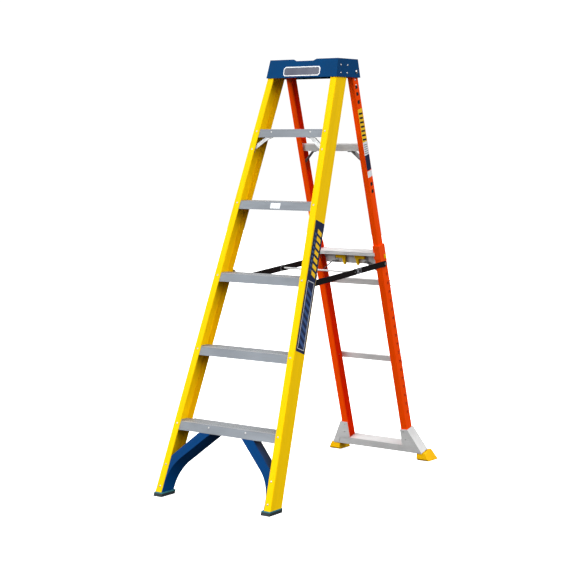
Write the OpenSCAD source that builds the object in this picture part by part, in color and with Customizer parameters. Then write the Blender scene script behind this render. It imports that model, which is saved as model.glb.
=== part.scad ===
// Fibreglass step ladder with a folding, height-adjustable rear section.
// Millimetres. +Z up, +Y towards the rear section, +X to the right of someone
// who faces the steps from behind. Every shape is drawn in ladder coordinates,
// with y = 0 at the front rails' front face on the floor, and standing() moves
// it so that the origin is the middle of the footprint.

/* [Front section] */
// Height from one tread to the next
step_pitch = 292; // [280:1:300]
// Number of steps below the top cap
step_count = 5; // [5:1:5]
// Lean of the front rails from vertical, degrees
front_lean = 20; // [19.5:0.1:20.5]
// Half the width over the front rails at the floor
front_half = 288.7; // [284:0.1:294]
// How much the half width shrinks per millimetre of height
front_taper = 0.069; // [0.067:0.001:0.071]
// Width of a front rail's flange
front_flange = 30.5; // [28:0.1:32]
// Depth of a front rail from front face to back face
front_depth = 73.7; // [72:0.1:75]
// Wall of the front rails
front_wall = 4; // [3.5:0.1:4.2]
// Height of a step's front skirt
skirt_height = 33; // [28:1:36]
// Distance from the front plane to a tread's rear edge, along the floor
tread_reach = 90; // [84:1:92]

/* [Rear section] */
// Lean of the rear rails from vertical, degrees
rear_lean = 16.02; // [16:0.01:16.04]
// Distance from the front rails' front face to the rear rails' front face on the floor
rear_reach = 1206.9; // [1206:0.1:1208]
// Half the width over the lower rear rails
rear_half = 173.2; // [173:0.1:173.4]
// Wall of the rear rails
rear_wall = 3.4; // [3:0.1:3.5]
// Depth of the lower rear rails
lower_depth = 46.6; // [46.4:0.1:47]
// Depth of the upper rear rails
upper_depth = 38.1; // [37.8:0.1:38.2]
// Spacing of the locking holes along the rail
hole_pitch = 40.64; // [40:0.01:41]
// Number of locking holes below the pin
hole_count = 18; // [15:1:18]

/* [Fasteners] */
// Radius of a rivet's shank
rivet_r = 2.4; // [2:0.1:2.6]
// Radius of a rivet's head
rivet_head = 4.6; // [4:0.1:5]
// Radial gap of a pivot pin in its hole
pivot_gap = 0.05; // [0.02:0.01:0.08]

/* [Hidden] */

$fn = 48;
eps = 0.01;
splay = atan(front_taper * cos(front_lean));

// Heights and ends
pad_height = 17;
rail_bottom = 17.4;
rail_top = 1728;
cap_bottom = 1671.2;
cap_top = 1746.3;
pad_wall = 2;
foot_front = 1199;
foot_back = 1286;
front_most = -pad_wall / cos(front_lean);
mid_depth = (front_most + foot_back) / 2;

// Pivots, as [y, z]
top_pivot = [749, 1695];
front_pivot = [428, 845];
rear_pivot = [967, 890];
mid_share = (733 - front_pivot[0]) / (rear_pivot[0] - front_pivot[0]);
mid_pivot = front_pivot + mid_share * (rear_pivot - front_pivot);
link_height = 25;
rear_link_x = 180;
link_thick = 3.2;
link_gap = 0.6;
front_link_x = rear_link_x + link_thick + link_gap;
ear_x = front_link_x + link_thick + 0.6;
ear_thick = 2.6;

// Upper rear rails sit inside the lower ones
slide_gap = 0.6;
upper_half = rear_half - rear_wall - slide_gap;
upper_d = (lower_depth - upper_depth) / 2;
upper_flange = 26.8;
lower_flange = 30.4;
lower_top_s = 1002;
upper_bottom_s = 840;
pin_d = 29;
pin_s = 951;
pin_r = 4.2;
hole_r = 4.3;

// ---------- frames ----------

module standing() {
  translate([0, -mid_depth, 0]) children();
}

// Local x across, y behind the front plane, z up along the front rails
module on_front() {
  rotate([-front_lean, 0, 0]) children();
}

// The same along one front rail, x = 0 on the rail's outer face
module along_front_rail() {
  on_front() translate([front_half, 0, 0]) rotate([0, -splay, 0]) children();
}

// Local x across, y behind the rear rails' front face, z up along the rear rails
module on_rear() {
  translate([0, rear_reach, 0]) rotate([rear_lean, 0, 0]) children();
}

module mirrored(side) {
  if (side > 0) children();
  else mirror([1, 0, 0]) children();
}

module both_sides() {
  children();
  mirror([1, 0, 0]) children();
}

module between_heights(low, high) {
  translate([-500, -300, low]) cube([1000, 2200, high - low]);
}

// Draws a y-z outline and extrudes it along x, from x0 to x1
module across(x0, x1) {
  translate([x0, 0, 0]) rotate([90, 0, 90]) linear_extrude(height = x1 - x0) children();
}

// Draws an x-z outline and extrudes it backwards, from y0 to y1
module backwards(y0, y1) {
  translate([0, y1, 0]) rotate([90, 0, 0]) linear_extrude(height = y1 - y0) children();
}

function front_y(z, d = 0) = z * tan(front_lean) + d / cos(front_lean);
function front_s(z, d = 0) = (z + d * sin(front_lean)) / cos(front_lean);
function front_x(s) = front_half - s * tan(splay);
function rear_s(z, d = 0) = (z - d * sin(rear_lean)) / cos(rear_lean);
function rear_point(p) = [
  (p[0] - rear_reach) * cos(rear_lean) + p[1] * sin(rear_lean),
  p[1] * cos(rear_lean) - (p[0] - rear_reach) * sin(rear_lean)];

// ---------- small shapes ----------

module rounded_rect(w, h, r) {
  translate([r, 0]) square([w - 2 * r, h]);
  translate([0, r]) square([w, h - 2 * r]);
  for (x = [r, w - r], y = [r, h - r]) translate([x, y]) circle(r);
}

// Channel open towards -x, outer face on x = 0
module channel(w, depth, wall, r) {
  difference() {
    translate([-w, 0]) rounded_rect(w + eps, depth, r);
    translate([0, -1]) square([1, depth + 2]);
    translate([-w - 1, wall]) square([w - wall - r + 1, depth - 2 * wall]);
    translate([-wall - 2 * r, wall]) rounded_rect(2 * r, depth - 2 * wall, 0.5);
  }
}

// Rivet through a stack of plates: head above z = 0, tail below -grip
module rivet(grip, tail = 1.6) {
  intersection() {
    translate([0, 0, -rivet_head]) sphere(rivet_head * 1.36);
    cylinder(r = rivet_head, h = rivet_head);
  }
  translate([0, 0, -grip]) cylinder(r = rivet_r, h = grip);
  if (tail > 0) translate([0, 0, -grip - tail]) cylinder(r = rivet_r * 1.5, h = tail);
}

module rivet_hole(grip) {
  translate([0, 0, -grip - 1]) cylinder(r = rivet_r + 0.05, h = grip + 2);
}

// ---------- where the rivets are ----------

step_skin = 2.2;
skirt_d = front_wall + 0.1;
flange_rivet_x = -17;
step_rivet_drop = 7;
front_grip = front_wall + step_skin + 0.2;

// One stack through a front rail's front flange at step k
module at_front_flange(k) {
  along_front_rail()
    translate([flange_rivet_x, 0, front_s(k * step_pitch - step_rivet_drop) / cos(splay)])
      rotate([90, 0, 0]) children();
}

// One stack through the rear flange at step k
module at_rear_flange(k) {
  along_front_rail()
    translate([flange_rivet_x, front_depth, front_s(k * step_pitch - 14, front_depth) / cos(splay)])
      rotate([-90, 0, 0]) children();
}

brace_rivet_z = 1380;
module at_top_brace_foot() {
  along_front_rail() translate([flange_rivet_x, 0, front_s(brace_rivet_z) / cos(splay)])
    rotate([90, 0, 0]) children();
}

foot_rivet_z = [125, 42];
module at_foot_brace() {
  for (z = foot_rivet_z) along_front_rail()
    translate([flange_rivet_x, 0, front_s(z) / cos(splay)]) rotate([90, 0, 0]) children();
}

top_brace_x = 98;
foot_brace_x = 92;
module at_top_skirt() {
  on_front() translate([top_brace_x, skirt_d, front_s(5 * step_pitch - 10)])
    rotate([90, 0, 0]) children();
}
module at_bottom_skirt() {
  on_front() translate([foot_brace_x, skirt_d, front_s(step_pitch - 9)])
    rotate([90, 0, 0]) children();
}

bottom_grip = step_skin + 3.2;
bracket_step = 3;
bracket_lift = ear_thick + 0.1;
bracket_rivet_s = front_s(846, front_depth);
module at_spreader_bracket() {
  along_front_rail() translate([flange_rivet_x, front_depth, bracket_rivet_s / cos(splay)])
    rotate([-90, 0, 0]) children();
}

// Side rivets that join the cap to a front rail, as [y, z]
cap_rivet_points = [[643, 1719], [692, 1719], [638, 1687], [684, 1687]];
cap_taper = 6.8 / (cap_top - cap_bottom);
function cap_half(z) = 177.3 - (z - cap_bottom) * cap_taper;
module at_cap_side() {
  for (p = cap_rivet_points) translate([cap_half(p[1]) + 0.05, p[0], p[1]])
    rotate([0, 90 - atan(cap_taper), 0]) children();
}

// ---------- top cap ----------

cap_front = [603.5, 622.8];
cap_back = [777.7, 768.7];

// Solid block that tapers on all four sides, grown outwards by grow
module cap_block(grow, low, high) {
  intersection() {
    across(-250, 250) polygon([[cap_front[0] - grow, cap_bottom], [cap_back[0] + grow, cap_bottom],
      [cap_back[1] + grow, cap_top], [cap_front[1] - grow, cap_top]]);
    backwards(500, 900) polygon([[-cap_half(cap_bottom) - grow, cap_bottom],
      [cap_half(cap_bottom) + grow, cap_bottom], [cap_half(cap_top) + grow, cap_top],
      [-cap_half(cap_top) - grow, cap_top]]);
    between_heights(low, high);
  }
}

module top_cap() {
  tray_floor = cap_top - 7;
  color([0, 0.2, 0.42]) standing() difference() {
    cap_block(0, cap_bottom, cap_top);
    // hollow below, open at the bottom, its sides parallel to the rails
    intersection() {
      cap_block(-2.2, cap_bottom - 1, tray_floor - 5.5);
      backwards(500, 900) polygon([
        [-front_half + front_taper * cap_bottom - 0.4, cap_bottom - 5],
        [front_half - front_taper * cap_bottom + 0.4, cap_bottom - 5],
        [front_half - front_taper * cap_top + 0.4, cap_top],
        [-front_half + front_taper * cap_top - 0.4, cap_top]]);
    }
    // bottom edge of the hollow, opened up so that it reaches the rim
    translate([-173.5, cap_front[0] + 3.4, cap_bottom - 1])
      cube([347, cap_back[0] - cap_front[0] - 6.8, 2]);
    // shallow tray in the top with a lip around it
    intersection() {
      cap_block(-7, tray_floor, cap_top + 1);
      translate([-162, 500, tray_floor]) cube([324, 400, 20]);
    }
    // dip in the middle of the front lip
    backwards(600, 640) polygon([[-55, cap_top + 1], [-38, tray_floor], [50, tray_floor],
      [67, cap_top + 1]]);
    // shallow pockets for screws and bits
    for (x = [-150, 62]) translate([x, 652, tray_floor - 2.5]) cube([88, 88, 20]);
    both_sides() {
      at_cap_side() translate([0, 0, -12]) cylinder(r = rivet_r + 0.05, h = 20);
      translate([150, top_pivot[0], top_pivot[1]]) rotate([0, 90, 0])
        cylinder(r = 5 + pivot_gap, h = 40);
    }
  }
}

// Plain raised plate on the cap's front, with cut corners
module cap_badge() {
  slope = atan((cap_front[1] - cap_front[0]) / (cap_top - cap_bottom));
  color([0.9, 0.92, 0.94]) standing() translate([0, cap_front[0], cap_bottom])
    rotate([-slope, 0, 0]) backwards(-1.25, -0.05) polygon([[-92, 14], [-84, 6], [84, 6], [92, 14],
      [92, 38], [84, 46], [-84, 46], [-92, 38]]);
}

module cap_rivets() {
  color([0.8, 0.82, 0.84]) standing() both_sides() at_cap_side() rivet(9.4);
}

// ---------- front section ----------

module front_rail() {
  difference() {
    intersection() {
      along_front_rail() linear_extrude(height = 2000) channel(front_flange, front_depth, front_wall, 3);
      between_heights(rail_bottom, rail_top);
    }
    for (k = [1:step_count]) {
      at_front_flange(k) rivet_hole(front_grip);
      at_rear_flange(k) rivet_hole(front_grip);
    }
    at_top_brace_foot() rivet_hole(front_grip);
    at_foot_brace() rivet_hole(front_grip + 4);
    at_spreader_bracket() rivet_hole(front_grip);
    at_cap_side() translate([0, 0, -14]) cylinder(r = rivet_r + 0.05, h = 20);
    // corner cut that clears the cap's sloping front
    translate([0, cap_front[1] - 25.5, cap_top - 19]) cube([400, 30, 40]);
  }
}

module front_rail_left() {
  color([0.98, 0.8, 0.03]) standing() mirrored(-1) front_rail();
}

module front_rail_right() {
  color([0.98, 0.8, 0.03]) standing() mirrored(1) front_rail();
}

// Everything between the webs of the front rails
module between_webs(gap) {
  on_front() backwards(-100, 300) polygon([[-front_x(0) + gap, 0], [front_x(0) - gap, 0],
    [front_x(1900) - gap, 1900], [-front_x(1900) + gap, 1900]]);
}

// Outline of a step in y-z, y measured from the front plane at tread height
module step_outline() {
  t = step_skin;
  fy = skirt_d / cos(front_lean);
  lean = tan(front_lean);
  back = tread_reach;
  low = -skirt_height;
  rear_low = -26;
  polygon([
    [fy + low * lean, low], [fy, 0], [back, 0], [back + rear_low * lean, rear_low],
    [back + rear_low * lean - 9, rear_low], [back + (rear_low + t) * lean - 9, rear_low + t],
    [back + (rear_low + t) * lean - t, rear_low + t], [back - (t + 2) * lean - t, -t - 2],
    [back - t * lean - t - 2, -t], [fy - t * lean + t + 2, -t], [fy - (t + 2) * lean + t, -t - 2],
    [fy + (low + t) * lean + t, low + t], [fy + (low + t) * lean + 9, low + t],
    [fy + low * lean + 9, low]]);
}

module step(k) {
  top_z = k * step_pitch;
  half = front_half - front_taper * top_z;
  color([0.68, 0.7, 0.73]) standing() difference() {
    union() {
      intersection() {
        translate([0, front_y(top_z), top_z]) across(-300, 300) step_outline();
        between_webs(front_wall + 0.4);
      }
      // tabs inside the rear flanges
      intersection() {
        both_sides() on_front() translate([half - front_flange - 8, front_depth - front_wall - 0.1
          - step_skin, front_s(top_z, front_depth) - 26]) cube([60, step_skin, 25]);
        between_webs(front_wall + 0.4);
        translate([0, 0, -step_skin]) between_heights(0, top_z + step_skin);
      }
    }
    // notches around the rear flanges
    both_sides() along_front_rail() translate([-front_flange - 1.2, front_depth - front_wall - 0.1, 0])
      cube([60, 80, 2000]);
    // corner cut back for the spreader bracket
    if (k == bracket_step) both_sides() on_front() translate([ear_x - 1, front_depth - 0.3, 0])
      cube([60, 60, 2000]);
    // gap in the front lip for the top brace
    if (k == step_count) both_sides() on_front()
      translate([top_brace_x - 14, skirt_d + step_skin, front_s(top_z - skirt_height) - 4])
        cube([43, 14, 16]);
    // grooves that run along the tread
    for (i = [0:13]) translate([-300, front_y(top_z) + 13 + i * 5, top_z - 0.6])
      cube([600, 2.2, 1]);
    both_sides() {
      at_front_flange(k) rivet_hole(front_grip);
      at_rear_flange(k) rivet_hole(front_grip);
      if (k == step_count) at_top_skirt() rivet_hole(6);
      if (k == 1) at_bottom_skirt() rivet_hole(12);
    }
  }
}

module front_rivets() {
  color([0.75, 0.76, 0.78]) standing() both_sides() {
    for (k = [1:step_count]) at_front_flange(k) rivet(front_grip);
    for (k = [1, 2, 4, 5]) at_rear_flange(k) rivet(front_grip);
    at_rear_flange(bracket_step) translate([0, 0, bracket_lift]) rivet(front_grip + bracket_lift);
    at_top_brace_foot() rivet(front_grip + 2.8);
    at_foot_brace() rivet(front_wall + 5.4);
    at_top_skirt() rivet(step_skin + 3);
    at_bottom_skirt() rivet(bottom_grip);
    at_spreader_bracket() translate([0, 0, bracket_lift]) rivet(front_wall + bracket_lift + 0.1);
  }
}

// Bent strap from the top step's skirt down to the front flange
module top_brace(side) {
  d0 = skirt_d + step_skin + 0.1;
  s_top = front_s(5 * step_pitch - 7);
  s_foot = front_s(brace_rivet_z);
  color([0.78, 0.8, 0.82]) standing() mirrored(side) difference() {
    intersection() {
      on_front() union() {
        backwards(d0, d0 + 2.4) polygon([[top_brace_x - 13, s_top], [top_brace_x + 20, s_top],
          [top_brace_x + 20, s_top - 22], [194, s_foot - 2], [194, s_foot - 14], [164, s_foot - 14],
          [164, s_foot - 2], [top_brace_x + 8, s_top - 34], [top_brace_x - 13, s_top - 26]]);
        // stiffening flange along the upper edge
        backwards(d0, d0 + 20) polygon([[top_brace_x + 20, s_top - 22], [180, s_foot + 6.5],
          [180, s_foot + 2], [top_brace_x + 20, s_top - 26.5]]);
      }
      between_webs(front_wall + 0.6);
      between_heights(1200, 5 * step_pitch - step_skin - 0.4);
    }
    at_top_skirt() rivet_hole(step_skin + 3.4);
    at_top_brace_foot() rivet_hole(front_grip + 4);
  }
}

module top_brace_left() {
  top_brace(-1);
}

module top_brace_right() {
  top_brace(1);
}

// Opening of the arch under the bottom step, in x and the height along the rail
arch_r = 166;
arch_centre = [86, 45];
arch_slope = 47.5;
module arch_opening(grow) {
  translate(arch_centre) {
    circle(arch_r + grow, $fn = 96);
    rotate(arch_slope) translate([-500, 0]) square([500 + arch_r + grow, 500]);
    translate([-500, -200]) square([500 + arch_r + grow, 200]);
  }
}

module foot_brace_outline() {
  polygon([[30, 305], [106, 305], [136, 276.6], [245, 172.4], [290, 128], [310, 10], [200, 10]]);
}

// Moulded channel that braces the foot of a rail against the bottom step
module foot_brace(side) {
  d0 = skirt_d;
  d1 = front_depth - front_wall - 0.2;
  plate = 5;
  color([0, 0.24, 0.47]) standing() mirrored(side) difference() {
    intersection() {
      on_front() difference() {
        backwards(d0, d1) difference() {
          foot_brace_outline();
          arch_opening(0);
        }
        backwards(d0 + plate, d1 - plate) difference() {
          translate([0, -5]) foot_brace_outline();
          arch_opening(3.5);
          translate([250, 0]) square([60, 32]);
        }
        // room for the step's skirt and lips
        translate([0, 0, front_s(step_pitch - skirt_height, d0) - 0.6])
          cube([320, d0 + step_skin + 0.2, 80]);
      }
      between_webs(front_wall + 0.6);
      between_heights(rail_bottom, step_pitch - step_skin - 0.8);
    }
    // gap around the bottom step's return lips and rear skirt
    translate([0, front_y(step_pitch), step_pitch]) across(0, 300) polygon([
      [-25, -skirt_height - 0.6], [6, -skirt_height - 0.6], [6, -skirt_height + 3], [-25, 5]]);
    translate([0, front_y(step_pitch), step_pitch]) across(0, 300) polygon([
      [66, -28], [120, -28], [120, 5], [60, 5]]);
    at_foot_brace() rivet_hole(front_wall + 8);
    at_bottom_skirt() rivet_hole(14);
    at_bottom_skirt() translate([0, 0, -bottom_grip - 2.4]) cylinder(r = rivet_r * 1.5 + 0.4, h = 2.6);
  }
}

module foot_brace_left() {
  foot_brace(-1);
}

module foot_brace_right() {
  foot_brace(1);
}

// Rubber shoe under a front rail, with a ribbed sole
module foot_pad(side) {
  inner = 247;
  color([0.03, 0.14, 0.16]) standing() mirrored(side) difference() {
    intersection() {
      on_front() translate([inner, -pad_wall, -80]) cube([60, front_depth + 2 * pad_wall, 200]);
      between_heights(0, pad_height);
      along_front_rail() translate([-60, -50, -100]) cube([60 + pad_wall, 200, 400]);
    }
    for (i = [0:6]) translate([200, -12 + i * 14, -1]) cube([120, 5, 4]);
  }
}

module foot_pad_left() {
  foot_pad(-1);
}

module foot_pad_right() {
  foot_pad(1);
}

// Bent plate on the rear flange whose ear holds the front end of a spreader
module spreader_bracket(side) {
  p = [front_pivot[0] * cos(front_lean) - front_pivot[1] * sin(front_lean),
    front_pivot[0] * sin(front_lean) + front_pivot[1] * cos(front_lean)];
  color([0.72, 0.74, 0.76]) standing() mirrored(side) difference() {
    union() {
      on_front() translate([ear_x, front_depth + 0.1, front_s(838, front_depth)])
        cube([38, ear_thick, front_s(886, front_depth) - front_s(838, front_depth)]);
      on_front() across(ear_x, ear_x + ear_thick) {
        polygon([[front_depth + 0.1, p[1] - 20], [p[0], p[1] - 13], [p[0], p[1] + 13],
          [front_depth + 0.1, p[1] + 26]]);
        translate(p) circle(13);
      }
    }
    at_spreader_bracket() translate([0, 0, 3]) rivet_hole(front_grip + 4);
    at_rear_flange(bracket_step) translate([0, 0, 3]) rivet_hole(front_grip + 4);
    translate([ear_x - 5, front_pivot[0], front_pivot[1]]) rotate([0, 90, 0])
      cylinder(r = 3.2 + pivot_gap, h = 20);
  }
}

module spreader_bracket_left() {
  spreader_bracket(-1);
}

module spreader_bracket_right() {
  spreader_bracket(1);
}

// Headed pin along x, from x0 to x1, with a head at each end
module headed_pin(r, head, x0, x1) {
  translate([x0, 0, 0]) rotate([0, 90, 0]) cylinder(r = r, h = x1 - x0);
  translate([x1, 0, 0]) rotate([0, 90, 0]) cylinder(r = head, h = 2);
  translate([x0 - 2, 0, 0]) rotate([0, 90, 0]) cylinder(r = head, h = 2);
}

module front_pivot_pins() {
  x0 = front_link_x - 0.3;
  x1 = front_link_x + link_thick + 0.6 + 2.7;
  color([0.75, 0.76, 0.78]) standing() both_sides()
    translate([0, front_pivot[0], front_pivot[1]]) headed_pin(3.2, 6, x0, x1);
}

module hinge_bolts() {
  x1 = cap_half(top_pivot[1]) + 0.9;
  x0 = upper_half - rear_wall - 0.4;
  color([0.75, 0.76, 0.78]) standing() both_sides()
    translate([0, top_pivot[0], top_pivot[1]]) {
      headed_pin(5, 8, x0, x1);
      translate([x1 + 2, 0, 0]) rotate([0, 90, 0]) cylinder(r1 = 7, r2 = 4.5, h = 2);
      translate([x0 - 8, 0, 0]) rotate([0, 90, 0]) cylinder(r = 8.4, h = 6, $fn = 6);
    }
}

// ---------- rear section, upper part ----------

upper_pivot = rear_point(top_pivot);
upper_cap_rivets = [1722.5, 1700];
bar_s = 1435;

module at_upper_web(s, d) {
  on_rear() translate([upper_half, d, s]) rotate([0, 90, 0]) children();
}

module upper_rail(side) {
  color([0.95, 0.3, 0.02]) standing() mirrored(side) difference() {
    intersection() {
      on_rear() translate([upper_half, upper_d, upper_bottom_s])
        linear_extrude(height = 960) channel(upper_flange, upper_depth, rear_wall, 2.5);
      // top end rounded about the hinge
      on_rear() across(0, 300) {
        translate([-20, 0]) square([100, upper_pivot[1]]);
        translate(upper_pivot) circle(23.2, $fn = 96);
      }
    }
    translate([100, top_pivot[0], top_pivot[1]]) rotate([0, 90, 0])
      cylinder(r = 5 + pivot_gap, h = 100);
    at_upper_web(pin_s, pin_d) translate([0, 0, -20]) cylinder(r = pin_r + 0.1, h = 40);
    for (s = upper_cap_rivets) at_upper_web(s, 22) rivet_hole(rear_wall);
  }
}

module upper_rail_left() {
  upper_rail(-1);
}

module upper_rail_right() {
  upper_rail(1);
}

inner_web = upper_half - rear_wall;
channel_d0 = upper_d + rear_wall + 0.3;
channel_d1 = upper_d + upper_depth - rear_wall - 0.3;

// Shallow channel between the upper rails, its ends against their webs
module upper_crossbar() {
  x = inner_web - 0.2;
  mid = (channel_d0 + channel_d1) / 2;
  color([0.72, 0.72, 0.74]) standing() on_rear() union() {
    translate([-x, mid - 8, bar_s - 15]) cube([2 * x, 2.4, 30]);
    for (s = [bar_s - 15, bar_s + 12.6]) translate([-x, mid - 8, s]) cube([2 * x, 16, 2.4]);
    both_sides() translate([x - 2.4, mid - 12, bar_s - 18]) cube([2.4, 24, 36]);
  }
}

// Bent strap from a crossbar at (x0, s0) down to the rail's inner face
module knee_brace(x0, s0, s1, d0, d1) {
  x1 = inner_web - 0.3;
  t = 2.4;
  on_rear() backwards(d0, d1) polygon([[x0 - 16, s0], [x0 + t, s0], [x1 - t, s1 + t],
    [x1 - t, s1 - 24], [x1, s1 - 24], [x1, s1 + 3], [x0 + 2 * t, s0 + t], [x0 - 16, s0 + t]]);
}

module upper_brace(side) {
  color([0.75, 0.76, 0.78]) standing() mirrored(side)
    knee_brace(98, bar_s - 17.6, bar_s - 80, channel_d0 + 2, channel_d1 - 2);
}

module upper_brace_left() {
  upper_brace(-1);
}

module upper_brace_right() {
  upper_brace(1);
}

handle_d = -6;
handle_top_s = 976;
handle_low_s = 960;
handle_back_d = 38.5;
handle_skin = 2.4;
handle_foot_s = 908;
handle_half = 140.5;
handle_reach = 149;

module handle_outline() {
  t = handle_skin;
  polygon([[handle_d, handle_low_s], [handle_d, handle_top_s], [handle_back_d, handle_top_s],
    [handle_back_d, handle_foot_s], [handle_back_d - t, handle_foot_s],
    [handle_back_d - t, handle_top_s - t],
    [handle_d + t, handle_top_s - t], [handle_d + t, handle_low_s + t], [handle_d + 7, handle_low_s + t],
    [handle_d + 7, handle_low_s]]);
}

// Ribbed squeeze bar that joins the upper rails
module handle_bar() {
  height = handle_top_s - handle_low_s;
  color([0.74, 0.74, 0.75]) standing() on_rear() {
    across(-handle_half, handle_half) handle_outline();
    // front face runs on over the rails
    translate([-handle_reach, handle_d, handle_low_s]) cube([2 * handle_reach, handle_skin, height]);
    // ribs along the front face and the top
    for (s = [handle_low_s + 1, handle_low_s + 7, handle_low_s + 13])
      translate([-handle_reach, handle_d - 1.8, s]) cube([2 * handle_reach, 2, 3]);
    for (d = [handle_d + 6, handle_d + 14, handle_d + 22, handle_d + 30])
      translate([-handle_half, d, handle_top_s - 0.2]) cube([2 * handle_half, 3, 1.2]);
  }
}

// Angle bracket from the handle bar's end to the inside of the rail
module handle_bracket(side) {
  top = handle_top_s - handle_skin - 0.2;
  color([0.7, 0.71, 0.73]) standing() mirrored(side) difference() {
    on_rear() union() {
      translate([inner_web - 2.8, channel_d0, 925]) cube([2.6, channel_d1 - channel_d0, top - 925]);
      translate([124, channel_d0, top - 2.6])
        cube([inner_web - 124 - 0.2, channel_d1 - channel_d0 - 3, 2.6]);
    }
    at_upper_web(pin_s, pin_d) translate([0, 0, -30]) cylinder(r = pin_r + 0.1, h = 60);
  }
}

module handle_bracket_left() {
  handle_bracket(-1);
}

module handle_bracket_right() {
  handle_bracket(1);
}

module handle_brace(side) {
  tab_d = handle_back_d - handle_skin - 2.5;
  color([0.75, 0.76, 0.78]) standing() mirrored(side) union() {
    knee_brace(88, 920, 866, channel_d0 + 3, channel_d1 - 9);
    on_rear() translate([72, channel_d1 - 9.2, 920]) cube([14, tab_d + 2.3 - channel_d1 + 9.2, 2.4]);
    on_rear() translate([72, tab_d, 920]) cube([14, 2.3, 22]);
  }
}

module handle_brace_left() {
  handle_brace(-1);
}

module handle_brace_right() {
  handle_brace(1);
}

rear_pivot_local = rear_point(rear_pivot);

// Bracket that wraps the lower rail's corner, fixed to the handle bar's end
module slide_bracket(side) {
  x0 = rear_half + 0.5;
  t = 3;
  d0 = handle_d + handle_skin + 0.1;
  color([0.95, 0.35, 0.03]) standing() mirrored(side) difference() {
    on_rear() union() {
      translate([143, d0, 944]) cube([x0 + t - 143, 3, 62]);
      across(x0, x0 + t) polygon([[d0, 900], [d0, 1006], [42, 1006], [42, 930],
        [rear_pivot_local[0] + 14, 905], [rear_pivot_local[0] + 8, 900]]);
    }
    at_upper_web(pin_s, pin_d) translate([0, 0, -30]) cylinder(r = pin_r + 0.4, h = 60);
    translate([x0 - 5, rear_pivot[0], rear_pivot[1]]) rotate([0, 90, 0])
      cylinder(r = 3.2 + pivot_gap, h = 20);
  }
}

module slide_bracket_left() {
  slide_bracket(-1);
}

module slide_bracket_right() {
  slide_bracket(1);
}

// Yellow bush on the outside of the slide bracket, around the end of the lock pin
module pin_guide(side) {
  x0 = rear_half + 3.6;
  color([0.95, 0.75, 0.05]) standing() mirrored(side) difference() {
    on_rear() translate([x0, pin_d - 5.5, pin_s - 9]) cube([2.6, 11, 18]);
    at_upper_web(pin_s, pin_d) translate([0, 0, -5]) cylinder(r = pin_r + 0.1, h = 9);
  }
}

module pin_guide_left() {
  pin_guide(-1);
}

module pin_guide_right() {
  pin_guide(1);
}

module rear_pivot_pins() {
  x0 = rear_half + 0.55;
  color([0.75, 0.76, 0.78]) standing() both_sides()
    translate([0, rear_pivot[0], rear_pivot[1]]) {
      translate([x0, 0, 0]) rotate([0, 90, 0]) cylinder(r = 3.2, h = rear_link_x + link_thick + 0.3 - x0);
      translate([x0 + 3.1, 0, 0]) rotate([0, 90, 0]) cylinder(r = 6, h = rear_link_x - x0 - 3.3);
      translate([rear_link_x + link_thick + 0.3, 0, 0]) rotate([0, 90, 0]) cylinder(r = 6, h = 2);
    }
}

module upper_rivets() {
  color([0.75, 0.76, 0.78]) standing() both_sides()
    for (s = upper_cap_rivets) at_upper_web(s, 22) rivet(rear_wall);
}

// ---------- rear section, lower part ----------

back_bar_d = lower_depth + 0.1;
middle_bar_s = rear_s(800, lower_depth);
lower_bar_s = rear_s(455, lower_depth);

module at_back_flange(s) {
  on_rear() translate([rear_half - 16, back_bar_d + 2.3, s]) rotate([-90, 0, 0]) children();
}

base_low_s = 34;
base_top_s = 67;

module at_gusset() {
  for (p = [[157, 136], [163, 98]]) on_rear() translate([p[0], -2.9, p[1]])
    rotate([90, 0, 0]) children();
}

module lower_rail(side) {
  color([0.95, 0.35, 0.03]) standing() mirrored(side) difference() {
    on_rear() translate([rear_half, 0, base_low_s + 3])
      linear_extrude(height = lower_top_s - base_low_s - 3)
        channel(lower_flange, lower_depth, rear_wall, 3);
    for (k = [0:hole_count]) at_upper_web(pin_s - k * hole_pitch, pin_d)
      translate([0, 0, -8]) cylinder(r = hole_r, h = 20);
    for (s = [middle_bar_s, lower_bar_s]) at_back_flange(s) rivet_hole(rear_wall + 2.6);
    at_gusset() rivet_hole(rear_wall + 3.2);
  }
}

module lower_rail_left() {
  lower_rail(-1);
}

module lower_rail_right() {
  lower_rail(1);
}

// Flat bar with a folded lower edge behind the lower rails
module back_crossbar(s) {
  x = rear_half - 2;
  color([0.76, 0.77, 0.79]) standing() difference() {
    on_rear() union() {
      translate([-x, back_bar_d, s - 13]) cube([2 * x, 2.2, 26]);
      translate([-x, back_bar_d, s - 13]) cube([2 * x, 10, 2.2]);
      translate([-x, back_bar_d, s + 10.8]) cube([2 * x, 10, 2.2]);
    }
    both_sides() at_back_flange(s) rivet_hole(rear_wall + 2.6);
  }
}

module middle_crossbar() {
  back_crossbar(middle_bar_s);
}

module lower_crossbar() {
  back_crossbar(lower_bar_s);
}

// Outer edge of the flared base, x at a height along the rail
function flare_x(s) = 179 + (146 - s) * 58 / 108;

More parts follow.
